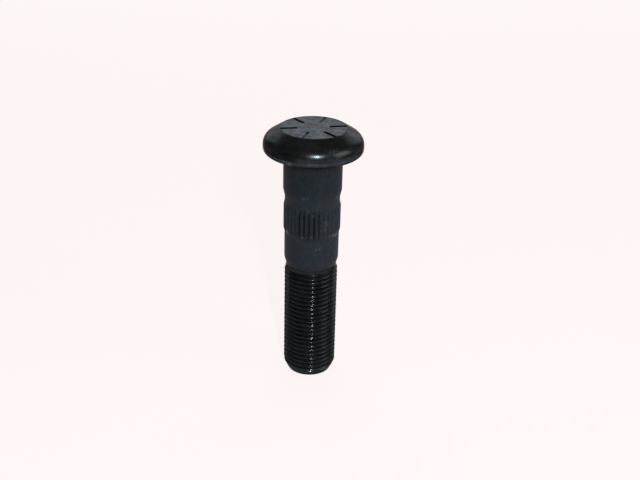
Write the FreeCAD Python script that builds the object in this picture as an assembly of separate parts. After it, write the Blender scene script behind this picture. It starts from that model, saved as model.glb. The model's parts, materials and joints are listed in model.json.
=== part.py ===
import FreeCAD, Part

import math
import os

from FreeCAD import Vector

# A wheel bolt that is pressed into a hub from behind: one cold-forged steel piece with a round head,
# a stepped shank, a band of rolled serrations that grips the hub, and a thread for the wheel nut.
# It stands on its threaded end. The origin is the centre of the end face, +Z runs up the axis to the
# head, and sizes are millimetres and degrees. The thread is drawn as its plain outer cylinder.

# Threaded end: a metric thread with a tapered point below it and a run-out above it
THREAD_DIAMETER = 22.0
THREAD_PITCH = 2.0
THREAD_LENGTH = 46.2
THREAD_RUNOUT = 2.8
POINT_DEPTH = 1.7
POINT_ANGLE = 25.0
# A thread is rolled from a blank of its pitch diameter, which lies this share of its sharp height down
ADDENDUM_SHARE = 3 / 8

# Extruded shank: each step up in diameter is a short taper
NECK_LENGTH = 0.9
TAPER_ANGLE = 13.0
BODY_DIAMETER = 22.3
BODY_LENGTH = 11.5
WAIST_LENGTH = 2.4
COLLAR_STEP = 0.7
COLLAR_LENGTH = 15.5

# Serrated band: straight V grooves rolled into a ridge that stands proud of the body
SERRATION_COUNT = 36
SERRATION_HEIGHT = 0.45
SERRATION_ROOT = 0.05
SERRATION_ANGLE = 90.0
SERRATION_LENGTH = 13.2
SERRATION_CHAMFER = 1.6

# Head: a flat seat below, an upright rim, a conical flank and a flat top
HEAD_DIAMETER = 40.0
RIM_HEIGHT = 5.85
FLANK_WIDTH = 6.6
FLANK_ANGLE = 32.0
SEAT_FILLET = 1.5
RIM_RADIUS = 2.0
SHOULDER_RADIUS = 4.7

# Strength-grade lines stamped into the flat top, in a ring that ends near its edge
LINE_COUNT = 6
LINE_LENGTH = 6.6
LINE_WIDTH = 1.2
LINE_DEPTH = 0.5
LINE_MARGIN = 0.3
LINE_START_ANGLE = 10.0

# Modelling values: the most of a side that one rounding may take, and how far a cut runs past a surface
ROUNDING_SHARE = 0.45
CUT_OVERRUN = 1.0

AXIS = Vector(0, 0, 1)
ORIGIN = Vector(0, 0, 0)
FULL_TURN = 360.0

# Radii that follow from the sizes above
thread_radius = THREAD_DIAMETER / 2
sharp_height = THREAD_PITCH * math.sqrt(3) / 2
blank_radius = thread_radius - ADDENDUM_SHARE * sharp_height
point_radius = thread_radius - POINT_DEPTH
body_radius = BODY_DIAMETER / 2
crest_radius = body_radius + SERRATION_HEIGHT
root_radius = body_radius + SERRATION_ROOT
collar_radius = body_radius + COLLAR_STEP
head_radius = HEAD_DIAMETER / 2
flat_radius = head_radius - FLANK_WIDTH


def taper_run(radius_below, radius_above):
    """Height that a taper needs to go from one radius to the other."""
    return abs(radius_above - radius_below) / math.tan(math.radians(TAPER_ANGLE))


# Heights above the end face, from the point up to the flat top
point_top = POINT_DEPTH / math.tan(math.radians(POINT_ANGLE))
runout_top = THREAD_LENGTH + THREAD_RUNOUT
neck_top = runout_top + NECK_LENGTH
body_bottom = neck_top + taper_run(blank_radius, body_radius)
band_bottom = body_bottom + BODY_LENGTH
band_top = band_bottom + SERRATION_LENGTH
waist_top = band_top + WAIST_LENGTH
collar_bottom = waist_top + taper_run(body_radius, collar_radius)
seat_height = collar_bottom + COLLAR_LENGTH
flank_bottom = seat_height + RIM_HEIGHT
head_top = flank_bottom + FLANK_WIDTH * math.tan(math.radians(FLANK_ANGLE))


def rounded_corner(before, corner, after, radius):
    """Arc of that radius, tangent to both sides of a corner and limited by the shorter one."""
    to_before = before - corner
    to_after = after - corner
    half_angle = to_before.getAngle(to_after) / 2
    shorter_side = min(to_before.Length, to_after.Length)
    tangent = min(radius / math.tan(half_angle), ROUNDING_SHARE * shorter_side)
    fitted_radius = tangent * math.tan(half_angle)
    to_before.normalize()
    to_after.normalize()
    inward = to_before + to_after
    inward.normalize()
    middle = corner + inward * (fitted_radius / math.sin(half_angle) - fitted_radius)
    return Part.Arc(corner + to_before * tangent, middle, corner + to_after * tangent)


def rounded_outline(corners):
    """Closed wire in the XZ plane through corners given as (radius, height, rounding)."""
    points = [Vector(radius, 0, height) for radius, height, _ in corners]
    edges = []
    pen = points[0]
    for index in range(1, len(points)):
        rounding = corners[index][2]
        reach = points[index]
        if rounding:
            arc = rounded_corner(points[index - 1], points[index], points[index + 1], rounding)
            reach = arc.StartPoint
        edges.append(Part.LineSegment(pen, reach).toShape())
        pen = reach
        if rounding:
            edges.append(arc.toShape())
            pen = arc.EndPoint
    edges.append(Part.LineSegment(pen, points[0]).toShape())
    return Part.Wire(edges)


def forged_blank():
    """The bolt as a round body: half its section, turned once about the axis."""
    outline = rounded_outline([
        (0, 0, 0),
        (point_radius, 0, 0),
        (thread_radius, point_top, 0),
        (thread_radius, THREAD_LENGTH, 0),
        (blank_radius, runout_top, 0),
        (blank_radius, neck_top, 0),
        (body_radius, body_bottom, 0),
        (body_radius, band_bottom, 0),
        (crest_radius, band_bottom + SERRATION_CHAMFER, 0),
        (crest_radius, band_top - SERRATION_CHAMFER, 0),
        (body_radius, band_top, 0),
        (body_radius, waist_top, 0),
        (collar_radius, collar_bottom, 0),
        (collar_radius, seat_height, SEAT_FILLET),
        (head_radius, seat_height, RIM_RADIUS),
        (head_radius, flank_bottom, SHOULDER_RADIUS),
        (flat_radius, head_top, 0),
        (0, head_top, 0),
    ])
    return Part.Face(outline).revolve(ORIGIN, AXIS, FULL_TURN).Solids[0]


def serration_groove(angle):
    """One V groove along the band, with its bottom just clear of the body on either side."""
    depth = crest_radius - root_radius + CUT_OVERRUN
    half_width = depth * math.tan(math.radians(SERRATION_ANGLE / 2))
    bottom = Vector(root_radius, 0, band_bottom)
    left = bottom + Vector(depth, -half_width, 0)
    right = bottom + Vector(depth, half_width, 0)
    section = Part.Face(Part.makePolygon([bottom, right, left, bottom]))
    groove = section.extrude(AXIS * SERRATION_LENGTH)
    groove.rotate(ORIGIN, AXIS, angle)
    return groove


def grade_line(angle):
    """One radial line in the flat top: a shallow slot with square ends."""
    inner_end = flat_radius - LINE_MARGIN - LINE_LENGTH
    corner = Vector(inner_end, -LINE_WIDTH / 2, head_top - LINE_DEPTH)
    slot = Part.makeBox(LINE_LENGTH, LINE_WIDTH, LINE_DEPTH + CUT_OVERRUN, corner)
    slot.rotate(ORIGIN, AXIS, angle)
    return slot


def wheel_bolt():
    """The whole bolt: the round blank with its serrations rolled and its grade lines stamped."""
    serration_step = FULL_TURN / SERRATION_COUNT
    line_step = FULL_TURN / LINE_COUNT
    first_groove = serration_step / 2
    grooves = [serration_groove(first_groove + index * serration_step) for index in range(SERRATION_COUNT)]
    lines = [grade_line(LINE_START_ANGLE + index * line_step) for index in range(LINE_COUNT)]
    return forged_blank().cut(grooves + lines).Solids[0]


os.makedirs("parts", exist_ok=True)
bolt = wheel_bolt()
bolt.exportStep("parts/wheel_bolt.step")
print("valid", bolt.isValid(), "volume", round(bolt.Volume, 1), "height", round(bolt.BoundBox.ZMax, 3))
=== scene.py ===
import json
import math

import bpy
import numpy as np
from mathutils import Matrix, Vector


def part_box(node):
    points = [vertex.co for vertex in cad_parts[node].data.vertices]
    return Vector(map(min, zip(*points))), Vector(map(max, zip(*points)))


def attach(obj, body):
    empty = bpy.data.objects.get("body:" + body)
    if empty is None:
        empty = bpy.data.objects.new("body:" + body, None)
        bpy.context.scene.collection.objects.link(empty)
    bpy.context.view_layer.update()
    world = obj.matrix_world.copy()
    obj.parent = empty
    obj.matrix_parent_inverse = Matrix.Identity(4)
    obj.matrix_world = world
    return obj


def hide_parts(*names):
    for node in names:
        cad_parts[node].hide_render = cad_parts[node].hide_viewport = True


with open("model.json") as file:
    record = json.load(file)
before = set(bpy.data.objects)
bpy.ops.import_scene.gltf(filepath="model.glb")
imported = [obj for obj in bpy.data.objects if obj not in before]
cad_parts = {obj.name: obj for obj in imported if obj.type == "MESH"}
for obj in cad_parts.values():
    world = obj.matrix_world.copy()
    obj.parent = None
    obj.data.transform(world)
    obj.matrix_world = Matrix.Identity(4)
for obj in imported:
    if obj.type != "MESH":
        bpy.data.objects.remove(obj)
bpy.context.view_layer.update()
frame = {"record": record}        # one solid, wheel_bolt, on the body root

# Blank: a length of steel bar, cold forged to a round conical head and extruded to a stepped shank.
# Its surface is half a section turned about the axis, and each later step presses into it or raises it.
mm = 0.001
bolt_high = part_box("wheel_bolt")[1]
mounts = {mount["name"]: mount for mount in frame["record"]["mounts"]}
head_radius = bolt_high.x
head_top = bolt_high.z
seat_height = mounts["head_seat"]["pos_m"][2]
rim_height = 5.85 * mm
flank_width = 6.6 * mm
rim_corner = seat_height + rim_height
flat_radius = head_radius - flank_width
collar_radius = mounts["hub_collar"]["dims"]["r_mm"] * mm
collar_bottom = 83.5 * mm
waist_top = 80.46 * mm
body_radius = 11.15 * mm
body_bottom = 53.36 * mm
neck_radius = 10.35 * mm
neck_top = 50.5 * mm
thread_top = 50.2 * mm
seat_fillet = 1.5 * mm
rim_rounding = 2.0 * mm
shoulder_rounding = 4.7 * mm
flat_rounding = 0.35 * mm
taper_rounding = 4.0 * mm
shank_row_gap = 0.55 * mm
arc_row_turn = math.radians(9)


def rounded_section(corners, row_gap, row_turn):
    """Rows (radius, height) through corners (radius, height, rounding), from the first to the last.

    A straight run is cut into equal steps of at most row_gap. A rounding is the arc that touches both
    runs of its corner, cut into equal turns of at most row_turn.
    """
    places = np.array([corner[:2] for corner in corners])
    rows = [places[:1]]
    for index in range(1, len(corners)):
        corner, rounding = places[index], corners[index][2]
        arc = corner[None]
        if rounding:
            back = places[index - 1] - corner
            ahead = places[index + 1] - corner
            back /= np.linalg.norm(back)
            ahead /= np.linalg.norm(ahead)
            half = np.arccos(back @ ahead) / 2
            turn = np.pi - 2 * half
            centre = corner + (back + ahead) / np.linalg.norm(back + ahead) * rounding / np.sin(half)
            start = corner + back * rounding / np.tan(half) - centre
            end = corner + ahead * rounding / np.tan(half) - centre
            share = np.linspace(0, 1, math.ceil(turn / row_turn) + 1)[:, None]
            arc = centre + (np.sin((1 - share) * turn) * start + np.sin(share * turn) * end) / np.sin(turn)
        pen = rows[-1][-1]
        steps = max(1, math.ceil(np.linalg.norm(arc[0] - pen) / row_gap))
        rows.append(pen + (arc[0] - pen) * np.linspace(0, 1, steps + 1)[1:, None])
        rows.append(arc[1:])
    return np.vstack(rows)


# Serrated band: straight V grooves rolled into a ridge round the shank, so that the lands between them
# stand proud and bite into the hub's hole. The mesh's columns follow the edges of the lands.
serration_count = 36
serration_step = 2 * math.pi / serration_count
band_bottom = 64.86 * mm
band_top = 78.06 * mm
band_chamfer = 1.6 * mm
chamfer_rounding = 1.2 * mm
crest_radius = 11.6 * mm
root_radius = 11.2 * mm
groove_angle = math.acos(root_radius / (math.sqrt(2) * crest_radius)) - math.pi / 4
land_angle = serration_step / 2 - groove_angle
land_rounding = math.radians(0.25)
land_columns = np.array([
    0,
    land_angle - land_rounding,
    land_angle + land_rounding,
    serration_step / 2,
    serration_step - land_angle - land_rounding,
    serration_step - land_angle + land_rounding,
])
column_angle = (serration_step * np.arange(serration_count)[:, None] + land_columns).ravel()
column_angle = np.append(column_angle, 2 * math.pi)

shank_and_head = rounded_section([
    (neck_radius, thread_top, 0),
    (neck_radius, neck_top, taper_rounding / 2),
    (body_radius, body_bottom, taper_rounding),
    (body_radius, band_bottom, chamfer_rounding),
    (crest_radius, band_bottom + band_chamfer, chamfer_rounding),
    (crest_radius, band_top - band_chamfer, chamfer_rounding),
    (body_radius, band_top, chamfer_rounding),
    (body_radius, waist_top, taper_rounding),
    (collar_radius, collar_bottom, taper_rounding),
    (collar_radius, seat_height, seat_fillet),
    (head_radius, seat_height, rim_rounding),
    (head_radius, rim_corner, shoulder_rounding),
    (flat_radius, head_top, flat_rounding),
    (flat_radius - flat_rounding, head_top, 0),
], shank_row_gap, arc_row_turn)


def in_band(height):
    """Whether a height lies between the band's ends."""
    return (height > band_bottom) & (height < band_top)


def serrated(radius, angle, height):
    """Radius cut back to the V grooves between the band's ends.

    A groove's flanks stand at 45 degrees, so at an angle away from its middle they lie at the root
    radius divided by the cosine of that angle less its sine.
    """
    away = np.abs(angle % serration_step - serration_step / 2)
    groove = root_radius / (np.cos(away) - np.sin(away))
    return np.where(in_band(height), np.minimum(radius, groove), radius)


# Grade lines: six radial strokes stamped into the flat top of the head, the plain mark of its strength.
# They are square-ended slots, so here the mesh's columns draw in to follow each slot's parallel sides.
line_count = 6
line_step = 2 * math.pi / line_count
line_start = math.radians(10)
line_depth = 0.5 * mm
line_length = 6.6 * mm
line_margin = 0.3 * mm
line_outer_end = flat_radius - line_margin
line_inner_end = line_outer_end - line_length
line_end_slope = 0.08 * mm
# Columns out from a slot's middle line: two on its floor, the floor's edge, the wall's top, one on the flat
line_offsets = np.array([0, 0.42, 0.58, 0.64, 0.90]) * mm
line_floor_columns = 2
line_rows = 12
centre_rows = 8
same_height = 1e-6 * mm

top_radius = np.concatenate([
    [line_outer_end + line_end_slope],
    np.linspace(line_outer_end - line_end_slope, line_inner_end + line_end_slope, line_rows),
    np.linspace(line_inner_end - line_end_slope, 0, centre_rows),
])
top_rows = np.stack([top_radius, np.full_like(top_radius, head_top)], axis=1)
upper_rows = np.vstack([shank_and_head, top_rows])

columns_per_line = (len(column_angle) - 1) // line_count
first_line_column = round(line_start / serration_step) * len(land_columns)
steps_from_first = np.arange(len(column_angle)) - first_line_column
nearest_line = np.round(steps_from_first / columns_per_line)
steps_from_line = steps_from_first - nearest_line * columns_per_line
step_count = np.abs(steps_from_line)
edge_steps = len(line_offsets) - 1


def ease(value, start, end):
    """0 before start, 1 after end, and a cubic S-curve between them."""
    share = np.clip((value - start) / (end - start), 0, 1)
    return share * share * (3 - 2 * share)


def line_columns(radius):
    """Column angles that follow the slots at each row's radius.

    Near a slot a column keeps its own distance from the slot's middle line, so its angle is the
    arcsine of that distance over the radius. The rest are shared out evenly up to the next slot.
    """
    reach = np.maximum(radius, line_inner_end)[:, None]
    near = np.arcsin(line_offsets[np.minimum(step_count, edge_steps).astype(int)] / reach)
    share = np.clip((step_count - edge_steps) / (columns_per_line / 2 - edge_steps), 0, 1)
    away = near + share * (line_step / 2 - near)
    return line_start + nearest_line * line_step + np.sign(steps_from_line) * away


row_radius, row_height = upper_rows[:, :1], upper_rows[:, 1:]
drawn_in = ease(row_height, rim_corner, head_top)
upper_angle = column_angle + drawn_in * (line_columns(upper_rows[:, 0]) - column_angle)
upper_radius = serrated(row_radius, upper_angle, row_height)
groove_depth = row_radius - upper_radius
on_flat = row_height >= head_top - same_height
in_line = (row_radius < line_outer_end) & (row_radius > line_inner_end)
pressed = on_flat & in_line & (step_count <= line_floor_columns)
upper_height = row_height - line_depth * pressed

# Thread: a right-hand metric thread, rolled between dies after forging, so its crests stand above the
# blank. It fades into the neck at the top, and the tapered point cuts its first turns at the bottom.
thread_radius = mounts["nut_thread"]["dims"]["r_mm"] * mm
thread_pitch = 2.0 * mm
depth_per_pitch = 0.6134
thread_depth = depth_per_pitch * thread_pitch
crest_end = 49.9 * mm
crest_runout = 2.4 * mm
groove_runout = 0.9 * mm
flank_slope = math.sqrt(3)
crest_half_width = thread_pitch / 16
crest_rounding = 0.35 * mm
root_rounding = 0.35 * mm
point_depth = 1.7 * mm
point_angle = math.radians(25)
point_radius = thread_radius - point_depth
point_slope = math.tan(point_angle)
point_edge = 0.25 * mm
point_rounding = 0.15 * mm
point_row_turn = math.radians(25)
end_row_gap = 3.0 * mm
thread_bottom = 0.4 * mm
# Rows of one turn as shares of the pitch up from a crest, closest on the crest and round the root
turn_rows = np.array([0, 0.07, 0.135, 0.30, 0.41, 0.50, 0.59, 0.70, 0.865, 0.93])


def smooth_least(first, second, blend):
    """The lesser of two values, with the corner where they cross rounded over a width of blend."""
    mix = np.clip(0.5 + 0.5 * (second - first) / blend, 0, 1)
    return second + (first - second) * mix - blend * mix * (1 - mix)


def thread_surface(angle, height):
    """Radius of the threaded end, and how far it lies below the crest, at each angle and height.

    The distance along the axis from the nearest crest, less half the crest's width, times the flank's
    slope gives the depth, which stops at the root. The cone of the point cuts off what is wider. At
    the top the crests sink to the neck's radius first, and the last groove rises to it after them.
    """
    turns = height / thread_pitch - angle / (2 * math.pi)
    from_crest = np.abs(turns - np.round(turns)) * thread_pitch
    depth = -smooth_least((crest_half_width - from_crest) * flank_slope, 0, crest_rounding)
    depth = smooth_least(depth, thread_depth, root_rounding)
    cone = point_radius + height * point_slope
    radius = smooth_least(thread_radius - depth, cone, point_rounding)
    above_neck = np.maximum(radius - neck_radius, 0) * ease(crest_end - height, 0, crest_runout)
    below_neck = np.minimum(radius - neck_radius, 0) * ease(thread_top - height, 0, groove_runout)
    return neck_radius + above_neck + below_neck, depth


first_turn = math.floor(thread_bottom / thread_pitch) - 1
last_turn = math.ceil(thread_top / thread_pitch)
row_rise = thread_pitch * (np.arange(first_turn, last_turn)[:, None] + turn_rows).ravel()
thread_rise = row_rise[:, None] + thread_pitch * column_angle / (2 * math.pi)
thread_height = np.clip(thread_rise, thread_bottom, thread_top)
thread_angle = np.broadcast_to(column_angle, thread_height.shape)
thread_wall, crest_depth = thread_surface(thread_angle, thread_height)

point_rows = rounded_section([
    (0, 0, 0),
    (point_radius, 0, point_edge),
    (point_radius + thread_bottom * point_slope, thread_bottom, 0),
], end_row_gap, point_row_turn)

# Knocks: dents and rubbed spots from tumbling in a bin with other bolts, where bare steel shows. Each is
# a height on the bolt and degrees to the right of its front, then a width, a depth and how bare it is.
front_angle = math.radians(-90)
knocks = (
    (105.35, 20.5, 0.90, 0.03, 0.35),
    (105.50, 25.0, 0.90, 0.03, 0.45),
    (105.60, 29.0, 0.80, 0.03, 0.35),
    (101.0, -3.5, 0.60, 0.03, 0.6),
    (101.2, 1.5, 0.50, 0.03, 0.6),
    (101.1, 6.0, 0.50, 0.03, 0.4),
    (100.3, -27.0, 1.20, 0.05, 0.5),
    (83.1, -17.5, 0.60, 0.10, 0.8),
    (83.2, -15.0, 0.45, 0.05, 0.5),
    (83.5, -9.0, 0.45, 0.05, 0.4),
    (77.7, -6.3, 0.50, 0.04, 0.35),
    (77.4, -28.0, 0.50, 0.04, 0.4),
    (76.0, 4.6, 0.50, 0.06, 0.5),
    (72.9, 27.5, 0.55, 0.20, 0.7),
    (71.8, 33.4, 0.50, 0.20, 0.5),
    (71.2, 27.7, 0.50, 0.10, 0.4),
    (70.0, 27.9, 0.50, 0.10, 0.4),
    (69.0, 26.9, 0.50, 0.10, 0.35),
    (66.1, -20.7, 0.50, 0.04, 0.5),
    (66.0, -15.4, 0.50, 0.04, 0.4),
    (66.6, 0.6, 0.50, 0.04, 0.4),
    (66.5, 24.0, 0.50, 0.04, 0.3),
    (66.2, 40.4, 0.60, 0.08, 0.6),
    (66.0, 49.0, 0.90, 0.08, 0.3),
    (65.4, 60.0, 0.70, 0.08, 0.6),
    (60.9, 10.5, 0.50, 0.05, 0.4),
    (60.8, 16.9, 0.50, 0.05, 0.4),
    (66.3, -58.0, 0.90, 0.12, 0.6),
)


def turn_from(angle, middle):
    """Angle from a middle, between half a turn back and half a turn ahead of it."""
    return (angle - middle + math.pi) % (2 * math.pi) - math.pi


def knocked(radius, angle, height):
    """Radius after the knocks, and how much bare steel shows, as a sum of round bell-shaped dents."""
    bare = np.zeros(np.broadcast_shapes(radius.shape, angle.shape, height.shape))
    dent = bare.copy()
    for knock_height, knock_turn, width, depth, knock_bare in knocks:
        across = turn_from(angle, front_angle + math.radians(knock_turn)) * radius
        distance = across ** 2 + (height - knock_height * mm) ** 2
        bell = np.exp(-distance / (2 * (width * mm / 2) ** 2))
        dent += depth * mm * bell
        bare = np.maximum(bare, knock_bare * bell)
    return radius - dent, bare


upper_radius, knock_rubbed = knocked(upper_radius, upper_angle, upper_height)

# Oil: the coated bolt was dipped in it, and the head and the thread still hold it, while the shank has
# dried. Dryness is a share from 0 to 1 at every point, and a knock is dry.
thread_dryness = 0.16
drying_height = 1.2 * mm
above_thread = ease(upper_height, thread_top, thread_top + drying_height)
below_seat = ease(seat_height - upper_height, 0, seat_fillet)
upper_dryness = (thread_dryness + (1 - thread_dryness) * above_thread) * below_seat
upper_dryness = np.maximum(upper_dryness, knock_rubbed)

# Dirt and painted shade: old oil and dust, dull and nearly black, settled unevenly in the grooves and the
# stamped lines, and painted shade there too and on the rim, under the head and at the neck, where the dark
# colour stands in for shadow and for dim reflections. It too is a share at every point, the most of what
# lies there.
around = upper_angle - front_angle
to_right = np.sin(around)
# Painted shade in the band: grooves and lands darken towards the front and the back, centred a little left
# of the front; at the sides the grooves keep only a little dirt
shaded_middle = math.radians(-5)
shade_start, shade_end = 0.3, 0.9
full_groove = 0.08 * mm
side_groove_fill = 0.2
groove_variation = 0.15
groove_beat = 2.4
# Painted shade on the lands, towards the front and the back
land_shade = 0.22
# Dirt and painted shade in the stamped lines, in turn: right, back right, back left, left, front left and
# front right, and on the flat beside the left and right ones
line_fill = np.array([0.95, 0.30, 0.90, 0.95, 0.30, 0.90])
line_edge_fill = np.array([0.45, 0, 0, 0.45, 0, 0])
# Painted shade on the rim, darker on the left, which stands in for dim reflections there. Its stretches: a
# share, then where it starts, is full, fades and ends, first to the right of the front as a share of the
# radius (below -1 takes in all of the left) and then up from the lower edge of the rim's wall in millimetres
rim_bottom = seat_height + rim_rounding
rim_stretches = (
    (0.25, (-3.0, -2.0, 0.30, 0.60), (-0.6, 0.3, 2.3, 3.3)),
    (0.80, (-0.90, -0.75, -0.45, -0.15), (-0.5, 0.3, 2.2, 3.2)),
    (0.75, (0.45, 0.60, 0.75, 0.90), (1.0, 1.8, 2.2, 3.2)),
)
# Painted shade under the head: the collar darkens from just below the waist up to the seat
collar_shade_depth = 0.32
collar_shade_start = waist_top - 2 * mm
collar_shade_full = collar_bottom + 3 * mm
# Painted shade at the neck and in the thread's run-out, where it hides a band of reflected floor, and
# darkening on the cone of the point
neck_and_point_darkening = 0.6
neck_shade_start = thread_top + 0.1 * mm
neck_shade_end = thread_top + 1.5 * mm


def between(value, start, full, fade, end):
    """0 up to start and after end, 1 from full to fade, and a cubic S-curve on either side."""
    return ease(value, start, full) * (1 - ease(value, fade, end))


# Groove fill: dirt in the grooves, with painted shade added towards the front and the back
shaded_front_and_back = ease(np.cos(2 * (around - shaded_middle)), shade_start, shade_end)
groove_fill = side_groove_fill + (1 - side_groove_fill) * shaded_front_and_back
groove_number = np.floor(upper_angle / serration_step)
groove_fill = groove_fill * (1 + groove_variation * np.sin(groove_beat * groove_number))
band_dirt_and_shade = np.clip(ease(groove_depth, 0, full_groove) * groove_fill, 0, 1)
band_dirt_and_shade = np.maximum(band_dirt_and_shade, land_shade * shaded_front_and_back * in_band(row_height))

# Dirt and painted shade in the stamped lines, darkening their floors and walls and the flat beside the left
# and right ones
line_number = (nearest_line % line_count).astype(int)
line_dirt_and_shade = np.where(step_count <= line_floor_columns + 1, line_fill[line_number], 0)
line_dirt_and_shade = np.where(step_count == edge_steps, line_edge_fill[line_number], line_dirt_and_shade) * on_flat * in_line

# Painted shade on the rim's wall
rim_shade = np.zeros_like(upper_angle)
for share, across, upward in rim_stretches:
    stretch_shade = share * between(to_right, *across) * between((row_height - rim_bottom) / mm, *upward)
    rim_shade = np.maximum(rim_shade, stretch_shade)

on_shank = (row_radius < collar_radius + seat_fillet) & (row_height < rim_corner)
# Painted shade under the head, deepening upwards
collar_shade = collar_shade_depth * ease(row_height, collar_shade_start, collar_shade_full) * on_shank
# Painted shade at the neck, fading upwards
neck_shade = neck_and_point_darkening * (1 - ease(row_height, neck_shade_start, neck_shade_end))
upper_layers = np.broadcast_arrays(band_dirt_and_shade, line_dirt_and_shade, rim_shade, collar_shade, neck_shade)
upper_dirt_and_shade = np.maximum.reduce(upper_layers)

# Thread's dirt and painted shade: a patchy film of the same old oil, with a dark stain under the neck, and
# painted shade along the left edge, on the crests in front, where it dims their glints, to the right of the
# front and in the thread's run-out, and darker on the cone of the point.
thread_film = 0.2
film_patches = 0.15
patch_length = 1.7 * mm
bend_length = 2 * mm
# Painted shade on the thread: along its left edge, on the crests in front, where it dims their glints, and
# to the right of the front
left_edge_shade = 0.45
left_edge_start, left_edge_end = 0.82, 0.95
front_crest_shade = 0.35
front_start, front_end = 0.9, 0.98
right_shade = 0.18
right_reach = (0.10, 0.30, 0.55, 0.80)
stain_dirt = 0.8
stain_middle = front_angle - math.radians(38)
stain_half_turn = math.radians(30)
stain_height = 47.5 * mm
stain_half_height = 3.2 * mm
runout_shade_start = crest_end - 1.2 * mm
point_darkening_depth = 0.2 * mm
crest_top = 0.05 * mm
crest_foot = 0.35 * mm


def patches(angle, height):
    """Uneven patches from -1 to 1.

    They are a wave five times round the thread, times a wave along it. The first is bent by a wave three
    times round that winds up the thread, and the second by a wave twice round.
    """
    round_it = np.sin(5 * angle + 2 * np.sin(3 * angle + height / bend_length))
    along_it = np.sin(height / patch_length + 2 * np.sin(2 * angle))
    return round_it * along_it


thread_to_right = np.sin(thread_angle - front_angle)
thread_to_front = np.cos(thread_angle - front_angle)
near_crest = 1 - ease(crest_depth, crest_top, crest_foot)
past_point = thread_radius - crest_depth - point_radius - thread_height * point_slope
oil_film_and_shade = thread_film + film_patches * patches(thread_angle, thread_height)
# Painted shade at the left edge, on the front crests and to the right
oil_film_and_shade = oil_film_and_shade + left_edge_shade * ease(-thread_to_right, left_edge_start, left_edge_end)
oil_film_and_shade = oil_film_and_shade + front_crest_shade * near_crest * ease(thread_to_front, front_start, front_end)
oil_film_and_shade = oil_film_and_shade + right_shade * between(thread_to_right, *right_reach)
stain_across = turn_from(thread_angle, stain_middle) / stain_half_turn
stain_along = (thread_height - stain_height) / stain_half_height
thread_dirt_and_shade = np.maximum.reduce([
    oil_film_and_shade,
    stain_dirt * np.exp(-stain_across ** 2 - stain_along ** 2),
    # Painted shade in the run-out, and darker on the cone of the point
    neck_and_point_darkening * ease(thread_height, runout_shade_start, thread_top),
    neck_and_point_darkening * ease(past_point, 0, point_darkening_depth),
])

# Wear and painted sheen: where handling has rubbed the coat towards grey steel, on the flat, the rim's lower
# edge and the crests at the point, a painted sheen of the same grey on the sides of the flank, and the
# polish that rubbing or the rolling dies have left.
flat_bare = 0.74
rim_edge_bare = 0.6
rim_edge_half_width = 0.22 * mm
rim_edge_gaps = 0.3
broad_gap_count, fine_gap_count = 5, 17
# Painted sheen: the sides of the flank, as seen from the front, get grey steel, the right more than the left
flank_sheen = 0.46
flank_sheen_to_right = 0.08
flank_side_start, flank_side_end = 0.90, 0.99
flank_sheen_start = rim_corner - 0.5 * mm
flank_sheen_end = rim_corner + 1 * mm
thread_bare = 0.05
point_bare = 0.25
point_wear_start, point_wear_end = 1 * mm, 7 * mm
point_crest = 0.2 * mm
point_edge_bare = 0.4
point_edge_half_width = 0.12 * mm
point_edge_start, point_edge_end = 2.5 * mm, 5 * mm
polish_of_bare = 10
crest_polish = 0.5

rim_unevenness = np.sin(broad_gap_count * upper_angle) * np.sin(fine_gap_count * upper_angle)
rim_unevenness = 1 - rim_edge_gaps + rim_edge_gaps * rim_unevenness
rim_edge_rubbed = rim_edge_bare * np.exp(-((row_height - rim_bottom) / rim_edge_half_width) ** 2)
rim_edge_rubbed = rim_edge_rubbed * (row_radius > head_radius - rim_rounding) * rim_unevenness
flat_rubbed = flat_bare * on_flat * (1 - line_dirt_and_shade)
upper_rubbed_and_sheen = np.maximum(knock_rubbed, np.maximum(rim_edge_rubbed, flat_rubbed))
upper_polish = np.clip(polish_of_bare * upper_rubbed_and_sheen, 0, 1)
# Painted sheen on the flank's sides
flank_sheen_share = (flank_sheen + flank_sheen_to_right * to_right) * ~on_flat
flank_sheen_share = flank_sheen_share * ease(np.abs(to_right), flank_side_start, flank_side_end)
flank_sheen_share = flank_sheen_share * ease(row_height, flank_sheen_start, flank_sheen_end)
upper_rubbed_and_sheen = np.maximum(upper_rubbed_and_sheen, flank_sheen_share)

point_rubbed = 1 - ease(thread_height, point_wear_start, point_wear_end)
point_rubbed = point_bare * point_rubbed * (1 - ease(crest_depth, 0, point_crest))
point_edge_rubbed = point_edge_bare * np.exp(-(past_point / point_edge_half_width) ** 2)
point_edge_rubbed = point_edge_rubbed * (1 - ease(thread_height, point_edge_start, point_edge_end))
thread_rubbed = thread_bare + point_rubbed + point_edge_rubbed
thread_polish = np.clip(polish_of_bare * thread_rubbed + crest_polish * near_crest, 0, 1)

# Bolt: the three stretches of surface, welded along the rings and the seam that they share into one
# closed skin, which stands for the solid.
weld_size = 1e-4 * mm


def stretch(radius, angle, height, *layers):
    """Points at a radius and an angle about the axis and a height along it, with layers beside them."""
    shape = np.broadcast_shapes(radius.shape, angle.shape, height.shape)
    points = np.stack(np.broadcast_arrays(radius * np.cos(angle), radius * np.sin(angle), height), axis=-1)
    return np.concatenate([points] + [np.broadcast_to(layer, shape)[..., None] for layer in layers], axis=-1)


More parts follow.
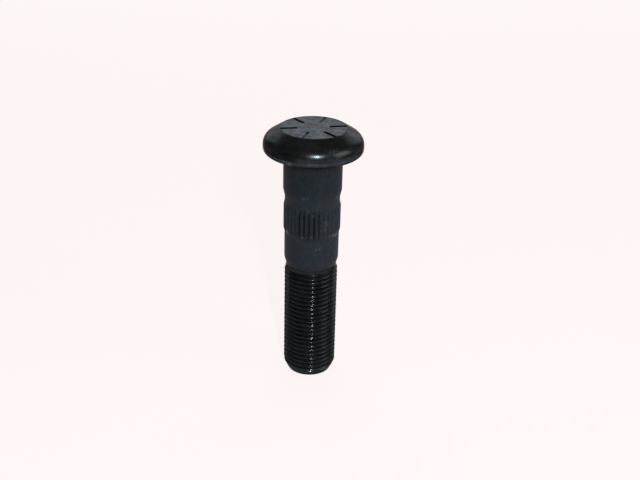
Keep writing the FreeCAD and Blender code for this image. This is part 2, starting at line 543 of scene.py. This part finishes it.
def welded(stretches):
    """One skin from grids of rows and columns: vertex values, quads and triangles.

    Each cell of a grid is a quad. Points in the same place become one, and a quad that loses a
    corner to that becomes a triangle or vanishes.
    """
    first = 0
    cells = []
    for grid in stretches:
        index = first + np.arange(grid.shape[0] * grid.shape[1]).reshape(grid.shape[:2])
        ring = [index[:-1, :-1], index[:-1, 1:], index[1:, 1:], index[1:, :-1]]
        cells.append(np.stack(ring, axis=-1).reshape(-1, 4))
        first += index.size
    values = np.vstack([grid.reshape(-1, grid.shape[-1]) for grid in stretches])
    places = np.round(values[:, :3] / weld_size).astype(np.int64)
    _, kept, merged = np.unique(places, axis=0, return_index=True, return_inverse=True)
    corners = merged.ravel()[np.vstack(cells)]
    doubled = corners == np.roll(corners, -1, axis=1)
    lost = doubled.sum(axis=1)
    triangles = corners[lost == 1][~doubled[lost == 1]].reshape(-1, 3)
    return values[kept], corners[lost == 0], triangles


clean = np.zeros(1)
oiled = np.full(1, thread_dryness)
skin, quads, triangles = welded([
    stretch(point_rows[:, :1], column_angle, point_rows[:, 1:], clean, clean, clean, clean),
    stretch(thread_wall, thread_angle, thread_height, oiled, thread_rubbed, thread_dirt_and_shade, thread_polish),
    stretch(upper_radius, upper_angle, upper_height, upper_dryness, upper_rubbed_and_sheen, upper_dirt_and_shade, upper_polish),
])
bolt_mesh = bpy.data.meshes.new("wheel_bolt_skin")
bolt_mesh.from_pydata(skin[:, :3].tolist(), [], quads.tolist() + triangles.tolist())
bolt_mesh.polygons.foreach_set("use_smooth", np.ones(len(bolt_mesh.polygons), bool))
for column, name in enumerate(("dry", "rubbed_and_sheen", "dirt_and_shade", "polish"), start=3):
    layer = bolt_mesh.attributes.new(name, "FLOAT", "POINT")
    layer.data.foreach_set("value", skin[:, column].astype(np.float32))
bolt_mesh.update()
bolt = bpy.data.objects.new("wheel_bolt_skin", bolt_mesh)
bpy.context.scene.collection.objects.link(bolt)

# Coat: black phosphate on steel, a fine crystal layer grown in a bath and then dipped in oil. The dry shank
# is matt and speckled, blue-grey with brown-grey patches. Where it holds oil it is nearly black with a
# soft, dim metal lustre, and rubbed places shine grey.
oiled_colour = "#30363A"
dry_colour = "#1D2831"
brown_colour = "#24272D"
dirt_and_shade_colour = "#090E12"
steel_colour = "#66747E"
# The lustre's tint at a glancing angle, which keeps the oiled edges dark against the pale floor
edge_tint = "#B2ACA8"
oiled_roughness = 0.27
dry_roughness = 0.60
polished_roughness = 0.10
coat_specular = 0.08
oil_patch = 7.0 * mm
blot = 2.2 * mm
# Real phosphate crystals are some hundredths of a millimetre, so the grain is drawn coarser, to show
grain = 0.35 * mm
grain_height = 0.02 * mm
oiled_grit, dry_grit = 0.1, 0.5
noise_low, noise_high = 0.3, 0.7
patch_dryness = 0.12
brown_low, brown_high, most_brown = 0.35, 0.65, 0.7
least_worn, most_worn = 0.35, 0.65
speckle_range = 0.25
blotch_range = 0.15


def linear(code):
    """An sRGB hex colour as linear red, green, blue and alpha."""
    parts = np.array([int(code[start:start + 2], 16) for start in (1, 3, 5)]) / 255
    parts = np.where(parts <= 0.04045, parts / 12.92, ((parts + 0.055) / 1.055) ** 2.4)
    return (*parts.tolist(), 1.0)


def add_node(tree, kind, inputs=None, **settings):
    """A new node: settings are its own options, inputs are values or the sockets that feed it."""
    node = tree.nodes.new(kind)
    for option, value in settings.items():
        setattr(node, option, value)
    for socket, value in (inputs or {}).items():
        if isinstance(value, bpy.types.NodeSocket):
            tree.links.new(value, node.inputs[socket])
        else:
            node.inputs[socket].default_value = value
    return node


coat = bpy.data.materials.new("black phosphated steel, oiled")
coat.use_nodes = True
coat.node_tree.nodes.clear()
tree = coat.node_tree
place = add_node(tree, "ShaderNodeTexCoord").outputs["Object"]
dry = add_node(tree, "ShaderNodeAttribute", attribute_name="dry").outputs["Fac"]
rubbed_and_sheen = add_node(tree, "ShaderNodeAttribute", attribute_name="rubbed_and_sheen").outputs["Fac"]
dirt_and_shade = add_node(tree, "ShaderNodeAttribute", attribute_name="dirt_and_shade").outputs["Fac"]
polish = add_node(tree, "ShaderNodeAttribute", attribute_name="polish").outputs["Fac"]
oil_patches = add_node(tree, "ShaderNodeTexNoise", {"Vector": place, "Scale": 1 / oil_patch, "Detail": 3.0})
grains = add_node(tree, "ShaderNodeTexNoise", {"Vector": place, "Scale": 1 / grain, "Detail": 2.0})
blots = add_node(tree, "ShaderNodeTexNoise", {"Vector": place, "Scale": 1 / blot, "Detail": 4.0})

patch_shift = add_node(tree, "ShaderNodeMapRange", {
    "Value": oil_patches.outputs["Fac"], "From Min": noise_low, "From Max": noise_high,
    "To Min": -patch_dryness, "To Max": patch_dryness})
dryness = add_node(tree, "ShaderNodeMath", {
    0: dry, 1: patch_shift.outputs["Result"]}, operation="ADD", use_clamp=True)
browned = add_node(tree, "ShaderNodeMapRange", {
    "Value": oil_patches.outputs["Fac"], "From Min": brown_low, "From Max": brown_high,
    "To Min": 0.0, "To Max": most_brown})
patchy_colour = add_node(tree, "ShaderNodeMix", {
    "Factor": browned.outputs["Result"], "A": linear(dry_colour), "B": linear(brown_colour)},
    data_type="RGBA")
coat_colour = add_node(tree, "ShaderNodeMix", {
    "Factor": dryness.outputs[0], "A": linear(oiled_colour), "B": patchy_colour.outputs["Result"]},
    data_type="RGBA")
# The dark colour is old dirt and also painted shade, where the attribute carries them
dirty_and_shaded_colour = add_node(tree, "ShaderNodeMix", {
    "Factor": dirt_and_shade, "A": coat_colour.outputs["Result"], "B": linear(dirt_and_shade_colour)}, data_type="RGBA")
worn = add_node(tree, "ShaderNodeMapRange", {
    "Value": blots.outputs["Fac"], "From Min": noise_low, "From Max": noise_high,
    "To Min": least_worn, "To Max": most_worn})
bare = add_node(tree, "ShaderNodeMath", {0: rubbed_and_sheen, 1: worn.outputs["Result"]}, operation="MULTIPLY")
# Grey steel for wear and for the painted sheen on the flank's sides
worn_and_sheen_colour = add_node(tree, "ShaderNodeMix", {
    "Factor": bare.outputs[0], "A": dirty_and_shaded_colour.outputs["Result"], "B": linear(steel_colour)},
    data_type="RGBA")
speckle = add_node(tree, "ShaderNodeMapRange", {
    "Value": grains.outputs["Fac"], "From Min": noise_low, "From Max": noise_high,
    "To Min": 1 - speckle_range, "To Max": 1 + speckle_range})
blotch = add_node(tree, "ShaderNodeMapRange", {
    "Value": blots.outputs["Fac"], "From Min": noise_low, "From Max": noise_high,
    "To Min": 1 - blotch_range, "To Max": 1 + blotch_range})
mottle = add_node(tree, "ShaderNodeMath", {
    0: speckle.outputs["Result"], 1: blotch.outputs["Result"]}, operation="MULTIPLY")
surface_colour = add_node(tree, "ShaderNodeMix", {
    "Factor": 1.0, "A": worn_and_sheen_colour.outputs["Result"], "B": mottle.outputs[0]},
    data_type="RGBA", blend_type="MULTIPLY")

lustre = add_node(tree, "ShaderNodeMath", {
    0: 1.0, 1: dryness.outputs[0]}, operation="SUBTRACT", use_clamp=True)
gloss = add_node(tree, "ShaderNodeMapRange", {
    "Value": dryness.outputs[0], "To Min": oiled_roughness, "To Max": dry_roughness})
roughness = add_node(tree, "ShaderNodeMix", {
    "Factor": polish, "A": gloss.outputs["Result"], "B": polished_roughness})
grit = add_node(tree, "ShaderNodeMapRange", {
    "Value": dryness.outputs[0], "To Min": oiled_grit, "To Max": dry_grit})
relief = add_node(tree, "ShaderNodeBump", {
    "Height": grains.outputs["Fac"], "Distance": grain_height, "Strength": grit.outputs["Result"]})
shader = add_node(tree, "ShaderNodeBsdfPrincipled", {
    "Base Color": surface_colour.outputs["Result"],
    "Roughness": roughness.outputs["Result"],
    "Specular IOR Level": coat_specular,
    "Specular Tint": linear(edge_tint),
    "Metallic": lustre.outputs[0],
    "Normal": relief.outputs["Normal"]})
add_node(tree, "ShaderNodeOutputMaterial", {"Surface": shader.outputs["BSDF"]})
bolt_mesh.materials.append(coat)

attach(bolt, "root")
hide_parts("wheel_bolt")

# Floor: a plain pale sheet under the bolt. To the camera and to reflections it glows at its own colour,
# so it stays even, and the rest of it is matt and takes the bolt's soft shadow.
pale = linear("#FFF8F8")
floor_half = 12.0
floor_glow = 0.90
floor_mesh = bpy.data.meshes.new("floor")
floor_corners = np.array([(-1, -1, 0), (1, -1, 0), (1, 1, 0), (-1, 1, 0)]) * floor_half
floor_mesh.from_pydata(floor_corners.tolist(), [], [(0, 1, 2, 3)])
floor = bpy.data.objects.new("floor", floor_mesh)
bpy.context.scene.collection.objects.link(floor)
sheet = bpy.data.materials.new("pale matt sheet")
sheet.use_nodes = True
sheet.node_tree.nodes.clear()
tree = sheet.node_tree
ray = add_node(tree, "ShaderNodeLightPath").outputs
seen = add_node(tree, "ShaderNodeMath", {
    0: ray["Is Camera Ray"], 1: ray["Is Glossy Ray"]}, operation="MAXIMUM")
seen = add_node(tree, "ShaderNodeMath", {
    0: seen.outputs[0], 1: ray["Is Transmission Ray"]}, operation="MAXIMUM")
glow_share = add_node(tree, "ShaderNodeMath", {0: seen.outputs[0], 1: floor_glow}, operation="MULTIPLY")
matt = add_node(tree, "ShaderNodeBsdfDiffuse", {"Color": pale})
glow = add_node(tree, "ShaderNodeEmission", {"Color": pale, "Strength": 1.0})
mixed = add_node(tree, "ShaderNodeMixShader", {
    0: glow_share.outputs[0], 1: matt.outputs["BSDF"], 2: glow.outputs["Emission"]})
add_node(tree, "ShaderNodeOutputMaterial", {"Surface": mixed.outputs["Shader"]})
floor_mesh.materials.append(sheet)

# Light: a dim, warm surround, a narrow lamp in front that gives the shoulder and the thread their bright
# spots, a warm screen on the right, and a wide pale screen behind, which the flat of the head mirrors.
surround_colour = linear("#FFE8DA")
surround_strength = 0.24
world = bpy.data.worlds.new("dim studio")
bpy.context.scene.world = world
world.use_nodes = True
world.node_tree.nodes.clear()
tree = world.node_tree
surround = add_node(tree, "ShaderNodeBackground", {"Color": surround_colour, "Strength": surround_strength})
add_node(tree, "ShaderNodeOutputWorld", {"Surface": surround.outputs["Background"]})


def add_lamp(name, turn, elevation, distance, width, height, energy, colour):
    """A soft lamp aimed at the head from a turn to the right of the front and an elevation, in degrees."""
    data = bpy.data.lights.new(name, "AREA")
    data.shape = "RECTANGLE"
    data.size = width
    data.size_y = height
    data.energy = energy
    data.color = colour
    turn, elevation = math.radians(turn), math.radians(elevation)
    way = Vector((
        math.cos(elevation) * math.sin(turn),
        -math.cos(elevation) * math.cos(turn),
        math.sin(elevation)))
    lamp = bpy.data.objects.new(name, data)
    lamp.location = Vector((0, 0, head_top)) + way * distance
    lamp.rotation_euler = way.to_track_quat("Z", "Y").to_euler()
    bpy.context.scene.collection.objects.link(lamp)


add_lamp("front lamp", turn=8.5, elevation=26, distance=0.6, width=0.022, height=0.11,
         energy=3.05, colour=(1.0, 0.975, 0.92))
add_lamp("side screen", turn=70, elevation=20, distance=0.8, width=0.5, height=0.5,
         energy=2.3, colour=(1.0, 0.80, 0.68))
add_lamp("back screen", turn=180, elevation=25, distance=1.2, width=2.2, height=0.9,
         energy=11.4, colour=(0.94, 0.985, 1.0))

# Camera: in front of the bolt and above it, fitted to the photograph's view, so it looks down on the bolt
# and is turned a little about its own line of sight.
image_width = 640
focal_pixels = 999.5
look_down = math.radians(26.137)
camera_roll = math.radians(-1.443)
camera_place = Vector((3.5, -369.14, 241.2)) * mm
nearest_seen = 10 * mm
camera_data = bpy.data.cameras.new("camera")
camera_data.lens = focal_pixels / image_width * camera_data.sensor_width
camera_data.clip_start = nearest_seen
level_right = Vector((1, 0, 0))
level_down = Vector((0, -math.sin(look_down), -math.cos(look_down)))
ahead = Vector((0, math.cos(look_down), -math.sin(look_down)))
right = level_right * math.cos(camera_roll) + level_down * math.sin(camera_roll)
up = level_right * math.sin(camera_roll) - level_down * math.cos(camera_roll)
camera = bpy.data.objects.new("camera", camera_data)
camera.matrix_world = Matrix.Translation(camera_place) @ Matrix((right, up, -ahead)).transposed().to_4x4()
bpy.context.scene.collection.objects.link(camera)
bpy.context.scene.camera = camera
bpy.context.scene.view_settings.view_transform = "Standard"
